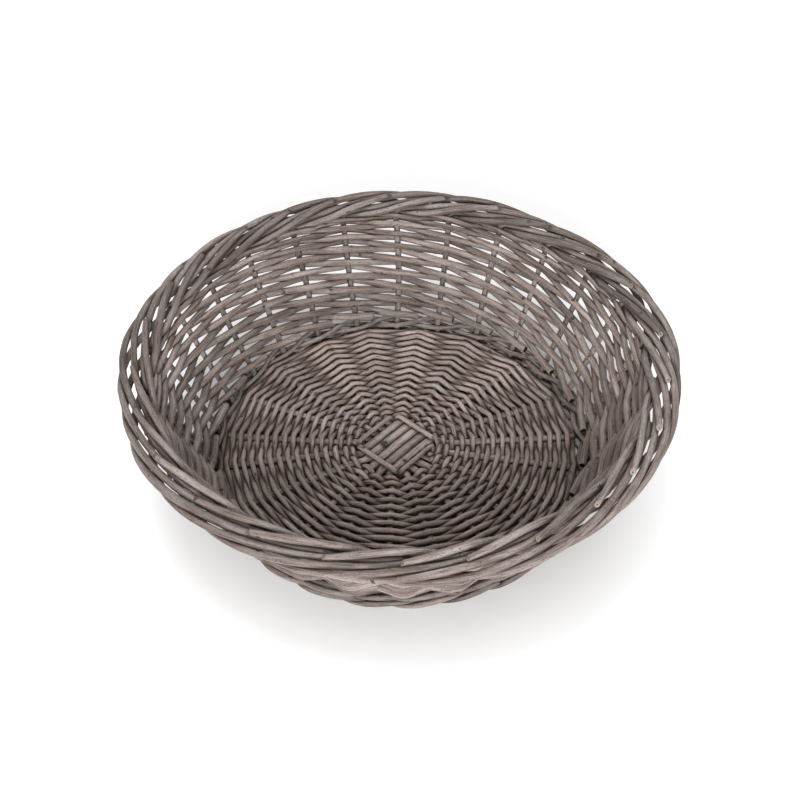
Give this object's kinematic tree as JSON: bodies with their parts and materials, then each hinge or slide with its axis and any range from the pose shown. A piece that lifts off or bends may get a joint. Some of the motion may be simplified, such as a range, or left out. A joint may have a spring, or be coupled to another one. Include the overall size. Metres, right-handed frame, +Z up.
{
  "type": "wicker tray basket",
  "caption": "Round open wicker tray basket with flared woven sides, a rolled rod border and a flat woven base, for bread, fruit or gifts.",
  "frame": {"origin": "on the ground under the middle of the round foot", "axes": "+Z up out of the bowl; +X to the right and +Y away from the viewer of the picture"},
  "size_m": [0.4478, 0.4494, 0.1215],
  "materials": {
    "stakes": "grey-washed willow rod, matt with a faint sheen",
    "side_rods": "grey-washed willow rod, matt with a faint sheen",
    "waling": "grey-washed willow rod, matt",
    "base_sticks": "grey-washed willow stick, matt",
    "base_weave": "grey-washed willow rod, matt"
  },
  "bodies": {
    "root": {"stake_01": "stakes", "stake_02": "stakes", "stake_03": "stakes", "stake_04": "stakes", "stake_05": "stakes", "stake_06": "stakes", "stake_07": "stakes", "stake_08": "stakes", "stake_09": "stakes", "stake_10": "stakes", "stake_11": "stakes", "stake_12": "stakes", "stake_13": "stakes", "stake_14": "stakes", "stake_15": "stakes", "stake_16": "stakes", "stake_17": "stakes", "stake_18": "stakes", "stake_19": "stakes", "stake_20": "stakes", "stake_21": "stakes", "stake_22": "stakes", "stake_23": "stakes", "stake_24": "stakes", "stake_25": "stakes", "stake_26": "stakes", "side_rod_01": "side_rods", "side_rod_02": "side_rods", "side_rod_03": "side_rods", "side_rod_04": "side_rods", "side_rod_05": "side_rods", "side_rod_06": "side_rods", "side_rod_07": "side_rods", "side_rod_08": "side_rods", "side_rod_09": "side_rods", "side_rod_10": "side_rods", "side_rod_11": "side_rods", "side_rod_12": "side_rods", "side_rod_13": "side_rods", "side_rod_14": "side_rods", "side_rod_15": "side_rods", "side_rod_16": "side_rods", "side_rod_17": "side_rods", "side_rod_18": "side_rods", "side_rod_19": "side_rods", "side_rod_20": "side_rods", "side_rod_21": "side_rods", "side_rod_22": "side_rods", "side_rod_23": "side_rods", "side_rod_24": "side_rods", "side_rod_25": "side_rods", "side_rod_26": "side_rods", "upsett_wale_01": "waling", "upsett_wale_02": "waling", "upsett_wale_03": "waling", "foot_wale": "waling", "base_slath": "base_sticks", "base_weaver_a": "base_weave", "base_weaver_b": "base_weave"}
  },
  "joints": []
}
